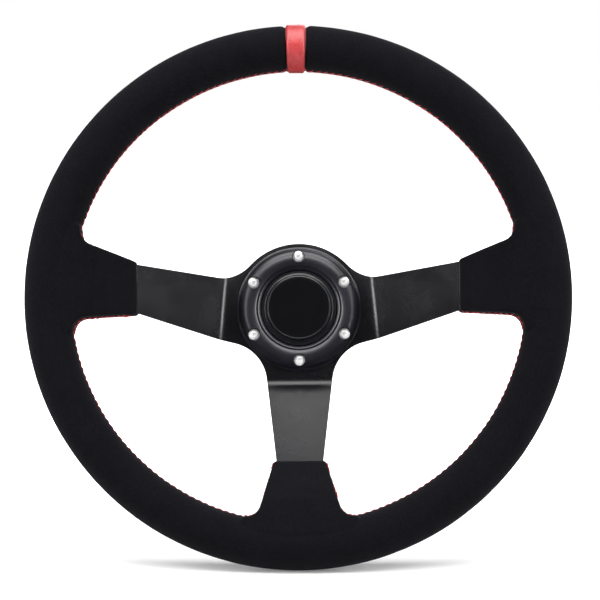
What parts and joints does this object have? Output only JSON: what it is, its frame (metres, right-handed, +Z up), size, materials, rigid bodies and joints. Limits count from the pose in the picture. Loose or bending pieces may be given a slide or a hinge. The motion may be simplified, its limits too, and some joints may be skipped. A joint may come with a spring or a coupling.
{
  "type": "quick release steering wheel",
  "caption": "Dished three-spoke motorsport wheel in black suede with red marker and thread, a horn button and the wheel half of a ball-lock quick release behind the hub.",
  "frame": {"origin": "centre of the quick release socket's mouth, at the coupler's rear face", "axes": "+Z up with the rim's marker at the top, +Y along the socket and away from the driver, +X to the driver's right"},
  "size_m": [0.35, 0.148, 0.35],
  "materials": {
    "suede": "matt black brushed suede with a short nap",
    "marker_leather": "smooth red leather",
    "red_thread": "waxed red sewing thread",
    "rim_foam": "black moulded polyurethane foam",
    "hoop_steel": "plain steel strip",
    "rivet_alloy": "set alloy rivets",
    "spoke_alloy": "satin black anodised, fine grained",
    "ring_alloy": "semi-gloss black anodised",
    "bright_screw": "bright plated",
    "black_plastic": "black moulded plastic",
    "gloss_black": "polished black",
    "contact_brass": "plain brass",
    "spring_steel": "drawn spring wire",
    "coupler_alloy": "satin black anodised, turned",
    "collar_alloy": "satin black anodised, turned",
    "machined_steel": "machined steel",
    "grommet_rubber": "black rubber",
    "ball_steel": "polished ball steel"
  },
  "bodies": {
    "wheel": {"rim_hoop": "hoop_steel", "rim_foam": "rim_foam", "pad_left": "rim_foam", "pad_right": "rim_foam", "pad_bottom": "rim_foam", "cover_upper_left": "suede", "cover_upper_right": "suede", "cover_lower_left": "suede", "cover_lower_right": "suede", "centre_marker": "marker_leather", "sleeve_left": "suede", "sleeve_right": "suede", "sleeve_bottom": "suede", "rim_thread": "red_thread", "spoke_frame": "spoke_alloy", "spoke_rivets": "rivet_alloy", "trim_ring": "ring_alloy", "wheel_screws": "bright_screw", "horn_housing": "black_plastic", "horn_terminals": "contact_brass", "horn_spring": "spring_steel", "coupler_body": "coupler_alloy", "spline_insert": "machined_steel", "insert_snap_ring": "spring_steel", "lead_grommet": "grommet_rubber", "collar_spring": "spring_steel", "collar_stop_washer": "machined_steel", "collar_circlip": "spring_steel"},
    "horn_button": {"horn_cap": "gloss_black", "horn_emblem": "gloss_black", "horn_contact_disc": "contact_brass"},
    "collar": {"release_collar": "collar_alloy"},
    "ball_1": {"lock_ball_1": "ball_steel"},
    "ball_2": {"lock_ball_2": "ball_steel"},
    "ball_3": {"lock_ball_3": "ball_steel"},
    "ball_4": {"lock_ball_4": "ball_steel"},
    "ball_5": {"lock_ball_5": "ball_steel"},
    "ball_6": {"lock_ball_6": "ball_steel"}
  },
  "joints": [
    {"name": "horn_press", "type": "slide", "parent": "wheel", "child": "horn_button", "axis": [0, 1, 0], "range_m": [0, 0.002], "stiffness_N_per_m": 600, "springref_m": -0.004, "deforming": ["horn_spring"]},
    {"name": "collar_pull", "type": "slide", "parent": "wheel", "child": "collar", "axis": [0, -1, 0], "range_m": [0, 0.006], "stiffness_N_per_m": 2400, "springref_m": -0.006, "deforming": ["collar_spring"]},
    {"name": "ball_1_out", "type": "slide", "parent": "wheel", "child": "ball_1", "axis": [1, 0, 0], "range_m": [0, 0.0017]},
    {"name": "ball_2_out", "type": "slide", "parent": "wheel", "child": "ball_2", "axis": [0.5, 0, 0.866], "range_m": [0, 0.0017]},
    {"name": "ball_3_out", "type": "slide", "parent": "wheel", "child": "ball_3", "axis": [-0.5, 0, 0.866], "range_m": [0, 0.0017]},
    {"name": "ball_4_out", "type": "slide", "parent": "wheel", "child": "ball_4", "axis": [-1, 0, 0], "range_m": [0, 0.0017]},
    {"name": "ball_5_out", "type": "slide", "parent": "wheel", "child": "ball_5", "axis": [-0.5, 0, -0.866], "range_m": [0, 0.0017]},
    {"name": "ball_6_out", "type": "slide", "parent": "wheel", "child": "ball_6", "axis": [0.5, 0, -0.866], "range_m": [0, 0.0017]}
  ],
  "couplings": [
    {"joint": "ball_1_out", "follows": "collar_pull", "ratio": 0.28},
    {"joint": "ball_2_out", "follows": "collar_pull", "ratio": 0.28},
    {"joint": "ball_3_out", "follows": "collar_pull", "ratio": 0.28},
    {"joint": "ball_4_out", "follows": "collar_pull", "ratio": 0.28},
    {"joint": "ball_5_out", "follows": "collar_pull", "ratio": 0.28},
    {"joint": "ball_6_out", "follows": "collar_pull", "ratio": 0.28}
  ]
}
